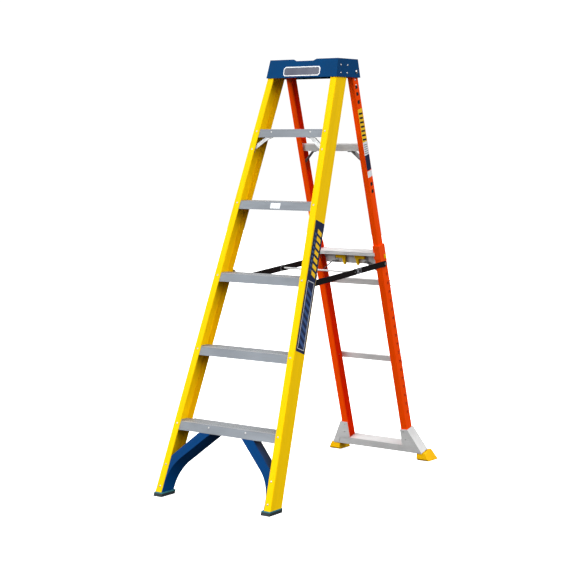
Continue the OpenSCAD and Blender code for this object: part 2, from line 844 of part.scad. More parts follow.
// Extruded bar across the feet, with two grooves in its front face
module base_bar() {
  color([0.76, 0.76, 0.77]) standing() difference() {
    on_rear() intersection() {
      difference() {
        translate([-250, -0.1 - 2.4, base_low_s]) cube([500, lower_depth + 7, base_top_s - base_low_s]);
        translate([-260, 0, base_low_s - 1]) cube([520, lower_depth, base_top_s - base_low_s - 1.6]);
      }
      backwards(-20, 80) polygon([[-flare_x(base_low_s) + 3.2, base_low_s - 1],
        [flare_x(base_low_s) - 3.2, base_low_s - 1], [flare_x(base_top_s) - 3.2, base_top_s + 1],
        [-flare_x(base_top_s) + 3.2, base_top_s + 1]]);
    }
    // thick front face between the gussets, with two grooves along it
    on_rear() difference() {
      backwards(-5.6, -2.3) polygon([[-204.6, base_low_s], [204.6, base_low_s], [194.6, 62.5],
        [150, 66.5], [-150, 66.5], [-194.6, 62.5]]);
      for (s = [base_low_s + 7, base_low_s + 17.5]) translate([-260, -6, s]) cube([520, 3.4, 4]);
    }
    // slots that the rails pass through
    both_sides() on_rear() translate([rear_half - lower_flange - 0.2, -0.1, base_low_s - 1])
      cube([lower_flange + 0.4, lower_depth + 0.2, 60]);
  }
}

// Bent plate that flares from the rail out to the foot
module base_gusset(side) {
  t = 2.4;
  d0 = -0.1 - 2.4 - 0.1 - t;
  color([0.8, 0.81, 0.82]) standing() mirrored(side) difference() {
    on_rear() union() {
      backwards(d0, d0 + t) polygon([[141, 70], [141, 145], [flare_x(146), 146],
        [flare_x(38), 38], [206, 38], [196, 64], [150, 68]]);
      backwards(d0, lower_depth) polygon([[flare_x(146) - t, 144], [flare_x(146), 146],
        [flare_x(38), 38], [flare_x(38) - t, 38]]);
    }
    at_gusset() translate([0, 0, 4]) rivet_hole(rear_wall + 10);
  }
}

module base_gusset_left() {
  base_gusset(-1);
}

module base_gusset_right() {
  base_gusset(1);
}

// Wedge-shaped plastic foot under the end of the base
module rear_foot(side) {
  color([0.96, 0.74, 0.05]) standing() mirrored(side) difference() {
    intersection() {
      backwards(foot_front, foot_back) polygon([[206, 0], [266, 0], [243, 46], [232, 46], [206, 34]]);
      across(200, 300) polygon([[foot_front + 8, 0], [foot_back, 0], [foot_back - 26, 56],
        [foot_front - 30, 44], [foot_front, 8]]);
    }
    // socket for the gusset and the bar's end
    on_rear() translate([150, -40, base_low_s - 0.2]) cube([150, 200, 60]);
    for (i = [0:5]) translate([200, foot_front + 10 + i * 13, -1]) cube([100, 4, 3]);
  }
}

module rear_foot_left() {
  rear_foot(-1);
}

module rear_foot_right() {
  rear_foot(1);
}

module lower_rivets() {
  color([0.75, 0.76, 0.78]) standing() both_sides() {
    // flush inside, where the upper rail slides past
    for (s = [middle_bar_s, lower_bar_s]) at_back_flange(s) rivet(rear_wall + 2.4, 0);
    at_gusset() translate([0, 0, 2.1]) rivet(rear_wall + 4.8, 0);
  }
}

// ---------- locks ----------

// Finger tongue and its sliding base, pulled towards the middle to unlock
module latch(side) {
  color([0.95, 0.75, 0.05]) standing() mirrored(side) on_rear() difference() {
    union() {
      translate([25, pin_d - 7, pin_s - 16]) cube([49, 11, 21]);
      backwards(pin_d - 6, pin_d + 2) polygon([[27, pin_s - 15], [45, pin_s - 15], [41, pin_s - 24],
        [40, pin_s - 46], [30, pin_s - 46], [28, pin_s - 24]]);
    }
    translate([60, pin_d, pin_s]) rotate([0, 90, 0]) cylinder(r = pin_r + 0.05, h = 20);
  }
}

module latch_left() {
  latch(-1);
}

module latch_right() {
  latch(1);
}

module lock_rod(side) {
  color([0.75, 0.76, 0.78]) standing() mirrored(side) on_rear()
    translate([60, pin_d, pin_s]) rotate([0, 90, 0]) cylinder(r = pin_r, h = upper_half + 0.2 - 60);
}

module lock_rod_left() {
  lock_rod(-1);
}

module lock_rod_right() {
  lock_rod(1);
}

// ---------- spreaders ----------

// Flat link between two pivots in y-z, with round ends
module link(a, b, x, reach) {
  along = b - a;
  angle = atan2(along[1], along[0]);
  across(x, x + link_thick) {
    translate(a) circle(link_height / 2);
    translate(a) rotate(angle) translate([0, -link_height / 2])
      square([norm(along) + reach, link_height]);
    translate(b) rotate(angle) translate([reach, 0]) circle(link_height / 2);
  }
}

module pivot_hole(p, r) {
  translate([150, p[0], p[1]]) rotate([0, 90, 0]) cylinder(r = r, h = 60);
}

module spreader_front(side) {
  color([0.08, 0.06, 0.06]) standing() mirrored(side) difference() {
    link(front_pivot, mid_pivot, front_link_x, 0);
    pivot_hole(front_pivot, 3.2 + pivot_gap);
    pivot_hole(mid_pivot, 4.2);
  }
}

module spreader_front_left() {
  spreader_front(-1);
}

module spreader_front_right() {
  spreader_front(1);
}

module spreader_rear(side) {
  color([0.08, 0.06, 0.06]) standing() mirrored(side) difference() {
    link(rear_pivot, mid_pivot, rear_link_x, 0);
    pivot_hole(rear_pivot, 3.2 + pivot_gap);
    pivot_hole(mid_pivot, 3);
  }
}

module spreader_rear_left() {
  spreader_rear(-1);
}

module spreader_rear_right() {
  spreader_rear(1);
}

// Round bar that joins the two spreaders at their middle joints
module spreader_crossbar() {
  reach = rear_link_x + link_thick;
  color([0.8, 0.8, 0.82]) standing() translate([0, mid_pivot[0], mid_pivot[1]]) {
    rotate([0, 90, 0]) translate([0, 0, -rear_link_x + 0.2]) cylinder(r = 4, h = 2 * rear_link_x - 0.4);
    rotate([0, 90, 0]) translate([0, 0, -reach]) cylinder(r = 2.95, h = 2 * reach);
  }
}

top_cap();
cap_badge();
cap_rivets();
hinge_bolts();
front_rail_left();
front_rail_right();
step(1);  // step_1
step(2);  // step_2
step(3);  // step_3
step(4);  // step_4
step(5);  // step_5
front_rivets();
top_brace_left();
top_brace_right();
foot_brace_left();
foot_brace_right();
foot_pad_left();
foot_pad_right();
spreader_bracket_left();
spreader_bracket_right();
front_pivot_pins();
upper_rail_left();
upper_rail_right();
upper_crossbar();
upper_brace_left();
upper_brace_right();
handle_bar();
handle_bracket_left();
handle_bracket_right();
handle_brace_left();
handle_brace_right();
slide_bracket_left();
slide_bracket_right();
pin_guide_left();
pin_guide_right();
upper_rivets();
rear_pivot_pins();
lower_rail_left();
lower_rail_right();
middle_crossbar();
lower_crossbar();
base_bar();
base_gusset_left();
base_gusset_right();
rear_foot_left();
rear_foot_right();
lower_rivets();
latch_left();
latch_right();
lock_rod_left();
lock_rod_right();
spreader_front_left();
spreader_front_right();
spreader_rear_left();
spreader_rear_right();
spreader_crossbar();
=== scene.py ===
"""Step ladder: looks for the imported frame. Metres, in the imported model's frame."""
import math

import bpy
import numpy as np
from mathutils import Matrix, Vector


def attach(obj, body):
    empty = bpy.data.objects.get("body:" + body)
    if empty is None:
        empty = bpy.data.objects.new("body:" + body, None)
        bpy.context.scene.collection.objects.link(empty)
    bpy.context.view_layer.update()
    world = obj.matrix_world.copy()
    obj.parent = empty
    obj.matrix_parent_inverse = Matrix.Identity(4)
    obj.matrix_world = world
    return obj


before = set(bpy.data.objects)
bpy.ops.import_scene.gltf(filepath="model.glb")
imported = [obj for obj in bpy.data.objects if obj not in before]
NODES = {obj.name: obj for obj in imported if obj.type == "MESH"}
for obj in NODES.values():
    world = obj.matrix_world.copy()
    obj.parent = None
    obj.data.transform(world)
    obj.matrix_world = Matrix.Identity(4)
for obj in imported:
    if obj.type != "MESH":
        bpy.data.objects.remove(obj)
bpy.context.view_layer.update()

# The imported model's origin is this far behind the front rails' front face on the floor
ORIGIN_BEHIND_FRONT = 0.641936
# Where the lower rear rails stand and lean, and their row of lock holes
REAR_REACH = 1.2069
REAR_LEAN = math.radians(16.02)
REAR_HALF_WIDTH = 0.1732
HOLE_PITCH = 0.04064
HOLE_COUNT = 18
PIN_ALONG = 0.951
PIN_DEPTH = 0.029


# ---------- faces of the frame ----------


class Face:
    """A flat face of a CAD node: u runs up along it, v across it, n out of it."""

    def __init__(self, node, direction):
        mesh = NODES[node].data
        wanted = Vector(direction).normalized()
        planes = {}
        for poly in mesh.polygons:
            if poly.normal.dot(wanted) < 0.9:
                continue
            depth = round(poly.normal.dot(poly.center) * 2000)
            key = (round(poly.normal.x, 2), round(poly.normal.y, 2), round(poly.normal.z, 2), depth)
            planes.setdefault(key, []).append(poly)
        best = max(planes.values(), key=lambda found: sum(p.area for p in found))
        self.n = best[0].normal.copy()
        corners = {i for poly in best for i in poly.vertices}
        points = np.array([mesh.vertices[i].co for i in corners])
        middle = points.mean(0)
        axes = np.linalg.svd(points - middle)[2]
        self.u = Vector(axes[0]).normalized()
        if abs(self.u.z) > 0.3 and self.u.z < 0 or abs(self.u.z) <= 0.3 and self.u.x < 0:
            self.u.negate()
        self.v = self.n.cross(self.u).normalized()
        along = (points - middle) @ np.array(self.u)
        across = (points - middle) @ np.array(self.v)
        centre = Vector(middle) + self.u * float((along.min() + along.max()) / 2)
        self.centre = centre + self.v * float((across.min() + across.max()) / 2)
        self.length = float(along.max() - along.min())
        self.width = float(across.max() - across.min())

    def point(self, u, v, out=0.0):
        return self.centre + self.u * u + self.v * v + self.n * out

    def u_at(self, z):
        """How far along the face its centreline is at that height."""
        return (z - self.centre.z) / self.u.z


# ---------- shader building ----------


class Graph:
    """Adds and links shader nodes of one material."""

    def __init__(self, name, turn=(0, 0, 0)):
        self.mat = bpy.data.materials.new(name)
        self.mat.use_nodes = True
        self.tree = self.mat.node_tree
        self.bsdf = self.tree.nodes["Principled BSDF"]
        self.where = self.add("ShaderNodeTexCoord").outputs["Object"]
        self.turn = turn

    def add(self, kind, **values):
        made = self.tree.nodes.new(kind)
        for name, value in values.items():
            setattr(made, name, value)
        return made

    def link(self, source, target):
        self.tree.links.new(source, target)

    def coords(self, scale):
        mapping = self.add("ShaderNodeMapping")
        turned = self.add("ShaderNodeMapping")
        turned.inputs["Rotation"].default_value = self.turn
        self.link(self.where, turned.inputs["Vector"])
        mapping.inputs["Scale"].default_value = scale
        self.link(turned.outputs[0], mapping.inputs["Vector"])
        return mapping.outputs[0]

    def painted_light_by_facing(self, low, high):
        """Painted light by facing: goes from low on walls to high on surfaces that face up, in the object's
        own frame.
        """
        parts = self.add("ShaderNodeSeparateXYZ")
        self.link(self.add("ShaderNodeTexCoord").outputs["Normal"], parts.inputs[0])
        return self.span(parts.outputs["Z"], low, high, 0.55, 0.9)

    def above(self, level):
        """0 below a height in the object's own frame, 1 from a little above it."""
        parts = self.add("ShaderNodeSeparateXYZ")
        self.link(self.where, parts.inputs[0])
        return self.span(parts.outputs["Z"], 0.0, 1.0, level, level + 0.001)

    def noise(self, scale, detail=4.0, rough=0.55, size=1.0):
        node = self.add("ShaderNodeTexNoise")
        self.link(self.coords(scale), node.inputs["Vector"])
        node.inputs["Scale"].default_value = size
        node.inputs["Detail"].default_value = detail
        node.inputs["Roughness"].default_value = rough
        return node.outputs["Fac"]

    def cells(self, scale, size=1.0):
        node = self.add("ShaderNodeTexVoronoi")
        self.link(self.coords(scale), node.inputs["Vector"])
        node.inputs["Scale"].default_value = size
        return node

    def ramp(self, value, stops):
        node = self.add("ShaderNodeValToRGB")
        while len(node.color_ramp.elements) < len(stops):
            node.color_ramp.elements.new(0.5)
        for element, (place, colour) in zip(node.color_ramp.elements, stops):
            element.position = place
            element.color = colour if len(colour) == 4 else (*colour, 1)
        self.link(value, node.inputs["Fac"])
        return node.outputs["Color"]

    def span(self, value, low, high, from_low=0.3, from_high=0.7):
        node = self.add("ShaderNodeMapRange")
        node.inputs["From Min"].default_value = from_low
        node.inputs["From Max"].default_value = from_high
        node.inputs["To Min"].default_value = low
        node.inputs["To Max"].default_value = high
        self.link(value, node.inputs["Value"])
        return node.outputs["Result"]

    def mix(self, share, first, second):
        node = self.add("ShaderNodeMix", data_type="RGBA")
        self.link(share, node.inputs["Factor"])
        for socket, colour in ((node.inputs[6], first), (node.inputs[7], second)):
            if isinstance(colour, tuple):
                socket.default_value = (*colour[:3], 1)
            else:
                self.link(colour, socket)
        return node.outputs[2]

    def plus(self, first, second, how="ADD"):
        node = self.add("ShaderNodeMath", operation=how)
        for socket, value in ((node.inputs[0], first), (node.inputs[1], second)):
            if isinstance(value, (int, float)):
                socket.default_value = value
            else:
                self.link(value, socket)
        return node.outputs[0]

    def bump(self, height, strength, distance, under=None):
        node = self.add("ShaderNodeBump")
        node.inputs["Strength"].default_value = strength
        node.inputs["Distance"].default_value = distance
        self.link(height, node.inputs["Height"])
        if under is not None:
            self.link(under, node.inputs["Normal"])
        return node.outputs["Normal"]

    def finish(self, colour, roughness, normal, **settings):
        self.link(colour, self.bsdf.inputs["Base Color"])
        self.link(roughness, self.bsdf.inputs["Roughness"])
        self.link(normal, self.bsdf.inputs["Normal"])
        for name, value in settings.items():
            self.bsdf.inputs[name.replace("_", " ")].default_value = value
        return self.mat


def srgb(red, green, blue):
    """A colour given as 0 to 255 display values."""
    return tuple((c / 255 / 12.92) if c / 255 <= 0.04045 else ((c / 255 + 0.055) / 1.055) ** 2.4
                 for c in (red, green, blue))


def shade(colour, factor):
    return tuple(min(1.0, c * factor) for c in colour)


def turn_to_z(direction):
    """Euler angles that turn a direction onto +Z, for grain that runs along a rail."""
    return tuple(Vector(direction).rotation_difference(Vector((0, 0, 1))).to_euler())


# ---------- materials ----------


def fibreglass(name, colour, direction):
    """Pultruded fibreglass: long faint fibres, a veil of fine speckle, satin gloss."""
    g = Graph(name, turn_to_z(direction))
    long_streak = g.noise((55, 55, 1.6), 5, 0.6)
    fibres = g.noise((1500, 1500, 18), 3, 0.7)
    veil = g.noise((420, 420, 260), 3, 0.6)
    dust = g.noise((9, 9, 5), 4, 0.6)
    tone = g.ramp(long_streak, [(0.25, shade(colour, 0.90)), (0.55, colour), (0.8, shade(colour, 1.06))])
    tone = g.mix(g.span(fibres, 0.0, 0.22, 0.45, 0.8), tone, shade(colour, 0.72))
    scuffs = g.span(g.noise((260, 260, 9), 6, 0.75), 0.0, 0.5, 0.66, 0.78)
    tone = g.mix(scuffs, tone, shade(colour, 0.8))
    rough = g.plus(g.span(dust, 0.38, 0.52), g.span(veil, -0.03, 0.05))
    height = g.plus(g.plus(fibres, 0.6, "MULTIPLY"), g.plus(veil, 0.4, "MULTIPLY"))
    return g.finish(tone, rough, g.bump(height, 0.22, 0.0004),
                    Specular_IOR_Level=0.16, Specular_Tint=(*colour, 1))


def moulded(name, colour, gloss=0.38, grain=700.0):
    """Injection-moulded plastic: a fine spark-eroded grain and faint flow marks."""
    g = Graph(name)
    flow = g.noise((14, 14, 9), 4, 0.6)
    fine = g.cells((grain, grain, grain)).outputs["Distance"]
    tone = g.ramp(flow, [(0.2, shade(colour, 0.84)), (0.55, colour), (0.85, shade(colour, 1.14))])
    specks = g.span(g.noise((900, 900, 900), 2, 0.5), 0.0, 0.25, 0.62, 0.75)
    tone = g.mix(specks, tone, shade(colour, 1.35))
    rough = g.plus(g.span(flow, gloss - 0.06, gloss + 0.07), g.span(fine, -0.03, 0.04, 0.1, 0.6))
    wave = g.bump(flow, 0.12, 0.002)
    return g.finish(tone, rough, g.bump(fine, 0.18, 0.0002, wave),
                    Specular_IOR_Level=0.25, Specular_Tint=(*colour, 1))


def aluminium(name, colour, across=(2.2, 700, 700), rough_mid=0.42, metal=0.55):
    """Extruded aluminium: die lines along the profile, dull oxide patches, fine scratches."""
    g = Graph(name)
    lines = g.noise(across, 4, 0.7)
    patches = g.noise((7, 16, 16), 5, 0.6)
    scratches = g.noise((30, 900, 120), 6, 0.8)
    tone = g.ramp(patches, [(0.25, shade(colour, 0.86)), (0.55, colour), (0.8, shade(colour, 1.1))])
    tone = g.mix(g.span(lines, 0.0, 0.4, 0.4, 0.75), tone, shade(colour, 0.72))
    rough = g.plus(g.span(patches, rough_mid - 0.07, rough_mid + 0.1), g.span(lines, -0.05, 0.06))
    fine = g.bump(lines, 0.35, 0.0003)
    return g.finish(tone, rough, g.bump(scratches, 0.1, 0.0003, fine), Metallic=metal, Anisotropic=0.35)


def step_metal(name, shaded_wall, lit_tread):
    """Ribbed step extrusion, dull satin: painted shade darkens the walls and painted light brightens the
    treads.
    """
    g = Graph(name)
    lines = g.noise((2.2, 700, 700), 4, 0.7)
    patches = g.noise((7, 16, 16), 5, 0.6)
    scratches = g.noise((30, 900, 120), 6, 0.8)
    # Painted shade on the walls and painted light on the treads, chosen by which way each face points.
    tone = g.mix(g.painted_light_by_facing(0.0, 1.0), shaded_wall, lit_tread)
    tone = g.mix(g.span(patches, 0.0, 0.3, 0.35, 0.75), tone, shade(shaded_wall, 0.8))
    tone = g.mix(g.span(lines, 0.0, 0.3, 0.4, 0.75), tone, shade(shaded_wall, 0.7))
    rough = g.plus(g.span(patches, 0.40, 0.55), g.span(lines, -0.05, 0.06))
    fine = g.bump(lines, 0.35, 0.0003)
    return g.finish(tone, rough, g.bump(scratches, 0.1, 0.0003, fine),
                    Metallic=0.25, Specular_IOR_Level=0.2)


def zinc(name, colour, rough_mid=0.3):
    """Zinc-plated steel: small crystals in tone, light handling marks."""
    g = Graph(name)
    crystals = g.cells((130, 130, 130))
    patches = g.noise((25, 25, 25), 5, 0.6)
    tone = g.mix(g.span(crystals.outputs["Distance"], 0.0, 0.5, 0.1, 0.7),
                 shade(colour, 1.08), shade(colour, 0.8))
    tone = g.mix(g.span(patches, 0.0, 0.35, 0.5, 0.8), tone, shade(colour, 0.65))
    rough = g.plus(g.span(patches, rough_mid - 0.06, rough_mid + 0.14),
                   g.span(crystals.outputs["Distance"], -0.03, 0.05, 0.1, 0.6))
    return g.finish(tone, rough, g.bump(patches, 0.2, 0.0006), Metallic=0.95)


def rubber(name, colour, trim):
    """Moulded rubber: matt, slightly chalky, with fine pits and a lighter upper rim."""
    g = Graph(name)
    bloom = g.noise((30, 30, 30), 5, 0.65)
    pits = g.cells((520, 520, 520)).outputs["Distance"]
    tone = g.ramp(bloom, [(0.3, shade(colour, 0.75)), (0.6, colour), (0.85, shade(colour, 1.6))])
    tone = g.mix(g.above(0.0125), tone, trim)
    rough = g.span(bloom, 0.62, 0.85)
    return g.finish(tone, rough, g.bump(pits, 0.35, 0.0004))


def painted(name, colour, rough_mid=0.35, scuff=2.6):
    """Thin paint on steel: orange peel, with bare scuffs here and there."""
    g = Graph(name)
    peel = g.noise((340, 340, 340), 2, 0.5)
    marks = g.noise((80, 80, 80), 7, 0.75)
    tone = g.mix(g.span(marks, 0.0, 1.0, 0.64, 0.74), colour, shade(colour, scuff))
    tone = g.mix(g.span(g.noise((12, 12, 12), 4, 0.6), 0.0, 0.6, 0.4, 0.8), tone, shade(colour, 0.7))
    rough = g.plus(g.span(marks, rough_mid - 0.05, rough_mid + 0.15), g.span(peel, -0.03, 0.03))
    return g.finish(tone, rough, g.bump(peel, 0.15, 0.0005), Specular_IOR_Level=0.16)


def vinyl(name, colour):
    """Printed vinyl label: smooth, faintly mottled ink."""
    g = Graph(name)
    ink = g.noise((180, 180, 180), 3, 0.6)
    wave = g.noise((16, 16, 16), 3, 0.5)
    tone = g.ramp(ink, [(0.3, shade(colour, 0.9)), (0.6, colour), (0.85, shade(colour, 1.08))])
    rough = g.span(wave, 0.26, 0.42)
    return g.finish(tone, rough, g.bump(wave, 0.1, 0.0008))


front_up = Face("front_rail_right", (0.99, 0, 0.07)).u
rear_up = Face("lower_rail_right", (1, 0, 0)).u

YELLOW = srgb(252, 205, 4)
ORANGE = srgb(255, 76, 0)
NAVY = srgb(6, 24, 64)

MATERIALS = {
    "cap_blue": moulded("cap_blue", srgb(0, 60, 108), 0.42),
    "badge_white": vinyl("badge_white", srgb(236, 240, 244)),
    "rivet_steel": zinc("rivet_steel", (0.62, 0.62, 0.62)),
    "yellow_fibreglass": fibreglass("yellow_fibreglass", YELLOW, front_up),
    "orange_fibreglass": fibreglass("orange_fibreglass", ORANGE, rear_up),
    # The steps' dark wall colour and light tread colour are painted shade and painted light.
    "step_aluminium": step_metal("step_aluminium", (0.20, 0.22, 0.245), (0.60, 0.62, 0.64)),
    "bar_aluminium": aluminium("bar_aluminium", (0.76, 0.76, 0.76), rough_mid=0.45, metal=0.2),
    "brace_steel": zinc("brace_steel", (0.36, 0.365, 0.37), 0.42),
    "boot_blue": moulded("boot_blue", srgb(0, 58, 112), 0.42),
    "pad_rubber": rubber("pad_rubber", (0.010, 0.022, 0.028), (0.02, 0.16, 0.19)),
    "bracket_orange": painted("bracket_orange", srgb(252, 76, 2), 0.45, 1.15),
    "foot_yellow": moulded("foot_yellow", srgb(250, 190, 12), 0.42),
    "latch_yellow": moulded("latch_yellow", srgb(248, 196, 20), 0.40),
    "spreader_black": painted("spreader_black", (0.006, 0.004, 0.004), 0.5),
    "pin_steel": zinc("pin_steel", (0.6, 0.6, 0.61), 0.22),
}
INK = {
    "navy": vinyl("ink_navy", NAVY),
    "yellow": vinyl("ink_yellow", srgb(250, 200, 20)),
    "white": vinyl("ink_white", srgb(232, 236, 240)),
    "black": vinyl("ink_black", srgb(24, 22, 26)),
    "grey": vinyl("ink_grey", srgb(150, 152, 158)),
    "blue": vinyl("ink_blue", srgb(58, 88, 140)),
    "dark": vinyl("ink_dark", srgb(38, 16, 10)),
}

# Node name beginnings, each with its slot and the width of its rounded edges in millimetres
FINISHES = [
    ("top_cap", "cap_blue", 2.2),
    ("cap_badge", "badge_white", 0.3),
    ("cap_rivets", "rivet_steel", 0),
    ("hinge_bolts", "pin_steel", 0),
    ("front_rail", "yellow_fibreglass", 0.5),
    ("step_", "step_aluminium", 0.4),
    ("front_rivets", "rivet_steel", 0),
    ("top_brace", "brace_steel", 0.4),
    ("foot_brace", "boot_blue", 1.2),
    ("foot_pad", "pad_rubber", 0.8),
    ("spreader_bracket", "brace_steel", 0.5),
    ("front_pivot_pins", "pin_steel", 0),
    ("upper_rail", "orange_fibreglass", 0.5),
    ("upper_crossbar", "bar_aluminium", 0.4),
    ("upper_brace", "brace_steel", 0.4),
    ("handle_bar", "bar_aluminium", 0.4),
    ("handle_bracket", "bar_aluminium", 0.4),
    ("handle_brace", "brace_steel", 0.4),
    ("slide_bracket", "bracket_orange", 0.5),
    ("pin_guide", "latch_yellow", 0.5),
    ("upper_rivets", "rivet_steel", 0),
    ("rear_pivot_pins", "pin_steel", 0),
    ("lower_rail", "orange_fibreglass", 0.5),
    ("middle_crossbar", "bar_aluminium", 0.3),
    ("lower_crossbar", "bar_aluminium", 0.3),
    ("base_bar", "bar_aluminium", 0.4),
    ("base_gusset", "bar_aluminium", 0.4),
    ("rear_foot", "foot_yellow", 1.2),
    ("lower_rivets", "rivet_steel", 0),
    ("latch", "latch_yellow", 0.8),
    ("lock_rod", "pin_steel", 0),
    ("spreader_crossbar", "bar_aluminium", 0),
    ("spreader_front", "spreader_black", 0.4),
    ("spreader_rear", "spreader_black", 0.4),
]


def round_edges(obj, width):
    """Joins the CAD triangles into flat faces and rounds the hard edges between them."""
    weld = obj.modifiers.new("weld", "WELD")
    weld.merge_threshold = 0.00001
    flat = obj.modifiers.new("flat", "DECIMATE")
    flat.decimate_type = "DISSOLVE"
    flat.angle_limit = math.radians(0.4)
    bevel = obj.modifiers.new("bevel", "BEVEL")
    bevel.width = width / 1000
    bevel.segments = 2
    bevel.limit_method = "ANGLE"
    bevel.angle_limit = math.radians(32)
    bevel.harden_normals = False
    obj.modifiers.new("normals", "WEIGHTED_NORMAL")


def dress_nodes():
    for name, obj in NODES.items():
        slot, width = next((s, w) for start, s, w in FINISHES if name.startswith(start))
        obj.data.materials.clear()
        obj.data.materials.append(MATERIALS[slot])
        if width:
            round_edges(obj, width)


# ---------- labels ----------


def box_outline(u0, u1, v0, v1, cut=0.0, lean=0.0):
    """Corners of a rectangle with cut corners; lean slides its far v side along u."""
    corners = [(u0 + cut, v0), (u1 - cut, v0), (u1, v0 + cut), (u1, v1 - cut), (u1 - cut, v1),
               (u0 + cut, v1), (u0, v1 - cut), (u0, v0 + cut)]
    if cut == 0:
        corners = [(u0, v0), (u1, v0), (u1, v1), (u0, v1)]
    span = max(v1 - v0, 1e-6)
    return [(u + lean * (v - v0) / span, v) for u, v in corners]


def label(name, face, shapes, body):
    """Thin printed plates stacked on a face. Each shape is (outline, level, ink)."""
    inks = sorted({ink for _, _, ink in shapes})
    vertices, polygons, which = [], [], []
    for outline, level, ink in shapes:
        first = len(vertices)
        count = len(outline)
        top = 0.00018 * level + 0.00008
        for out in (0.00002, top):
            vertices += [tuple(face.point(u, v, out)) for u, v in outline]
        polygons.append([first + count + i for i in range(count)])
        polygons.append([first + count - 1 - i for i in range(count)])
        which += [inks.index(ink)] * 2
        for i in range(count):
            j = (i + 1) % count
            polygons.append([first + i, first + j, first + count + j, first + count + i])
            which.append(inks.index(ink))
    mesh = bpy.data.meshes.new(name)
    mesh.from_pydata(vertices, [], polygons)
    for ink in inks:
        mesh.materials.append(INK[ink])
    for poly, index in zip(mesh.polygons, which):
        poly.material_index = index
    mesh.validate()
    obj = bpy.data.objects.new(name, mesh)
    bpy.context.scene.collection.objects.link(obj)
    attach(obj, body)
    return obj


def frame_shapes(u0, u1, v0, v1, line, level, ink):
    """Four thin strips around a rectangle."""
    strips = ((u0, u1, v0, v0 + line), (u0, u1, v1 - line, v1),
              (u0, u0 + line, v0, v1), (u1 - line, u1, v0, v1))
    return [(box_outline(*strip), level, ink) for strip in strips]


def slanted_bars(u0, u1, v0, v1, count, share, lean, level, ink):
    """A row of leaning bars that fills a rectangle."""
    pitch = (u1 - u0 - lean) / count
    return [(box_outline(u0 + i * pitch, u0 + (i + share) * pitch, v0, v1, lean=lean), level, ink)
            for i in range(count)]


def front_rail_label():
    face = Face("front_rail_right", (0.99, 0, 0.07))
    towards_back = 1 if face.v.y > 0 else -1
    u0, u1 = face.u_at(0.5935), face.u_at(1.093)
    v0, v1 = -0.0295, 0.0335
    if towards_back < 0:
        v0, v1 = -v1, -v0
    middle = u0 + (u1 - u0) * 0.55
    shapes = [(box_outline(u0, u1, v0, v1, 0.002), 1, "navy")]
    shapes += slanted_bars(middle + 0.012, u1 - 0.020, v0 + 0.010, v1 - 0.024,
                           7, 0.62, 0.010, 2, "yellow")
    shapes += slanted_bars(middle + 0.030, u1 - 0.040, v1 - 0.019, v1 - 0.008, 9, 0.5, 0.004, 2, "blue")
    shapes += frame_shapes(u0 + 0.012, middle - 0.006, v0 + 0.009, v1 - 0.009, 0.0022, 2, "white")
    shapes += slanted_bars(u0 + 0.020, middle - 0.014, v0 + 0.015, v1 - 0.015, 8, 0.5, 0.02, 2, "blue")
    label("front_rail_label", face, shapes, "front_frame")


def cap_plate():
    """Plain navy inset on the cap's raised plate, which leaves a light border."""
    face = Face("cap_badge", (0, -0.97, 0.25))
    half, tall = face.length / 2, face.width / 2
    shapes = [(box_outline(-half + 0.004, half - 0.004, -tall + 0.004, tall - 0.004, 0.006), 1, "navy")]
    label("cap_plate_inset", face, shapes, "front_frame")


def upper_rail_label():
    """Row of printed patches on the outer side of the right upper rear rail."""
    face = Face("upper_rail_right", (1, 0, 0))
    half = min(0.0165, face.width / 2 - 0.001)

    def patch(low, high, level, ink, side=half):
        return (box_outline(face.u_at(low), face.u_at(high), -side, side, 0.001), level, ink)

    shapes = [patch(z - 0.007, z + 0.007, 1, "dark", 0.008) for z in (1.633, 1.605, 1.572, 1.232, 1.202)]
    shapes += [patch(1.408, 1.544, 1, "yellow"), patch(1.354, 1.408, 1, "white"),
               patch(1.291, 1.354, 1, "navy"), patch(1.262, 1.288, 1, "white")]
    low, high = face.u_at(1.412), face.u_at(1.540)
    shapes += slanted_bars(low, high, -half + 0.003, half - 0.003, 7, 0.45, 0.004, 2, "black")
    low, high = face.u_at(1.358), face.u_at(1.404)
    shapes += slanted_bars(low, high, -half + 0.004, half - 0.004, 5, 0.5, 0.002, 2, "grey")
    label("upper_rail_label", face, shapes, "rear_upper")


def step_tag():
    """Small light tag on the front of the fourth step."""
    face = Face("step_4", (0, -0.94, 0.34))
    low, high = -face.width / 2 + 0.006, face.width / 2 - 0.006
    label("step_tag", face, [(box_outline(-0.022, 0.027, low, high, 0.001), 1, "white")], "front_frame")


def spreader_tags():
    """Dark tag with a grey border on the outer side of each rear spreader link."""
    for name, side in (("right", 1), ("left", -1)):
        face = Face("spreader_rear_" + name, (side, 0, 0))
        low, high = sorted((y - ORIGIN_BEHIND_FRONT - face.centre.y) / face.u.y for y in (0.712, 0.782))
        half = face.width / 2 - 0.003
        shapes = []
        for level, (ends, edge, cut, ink) in enumerate(((0, 0, 0.001, "grey"), (0.003, 0.003, 0.001, "black"),
                                                        (0.018, 0.006, 0.002, "grey")), 1):
            outline = box_outline(low + ends, high - ends, -half + edge, half - edge, cut)
            shapes.append((outline, level, ink))
        label("spreader_tag_" + name, face, shapes, "rear_links")


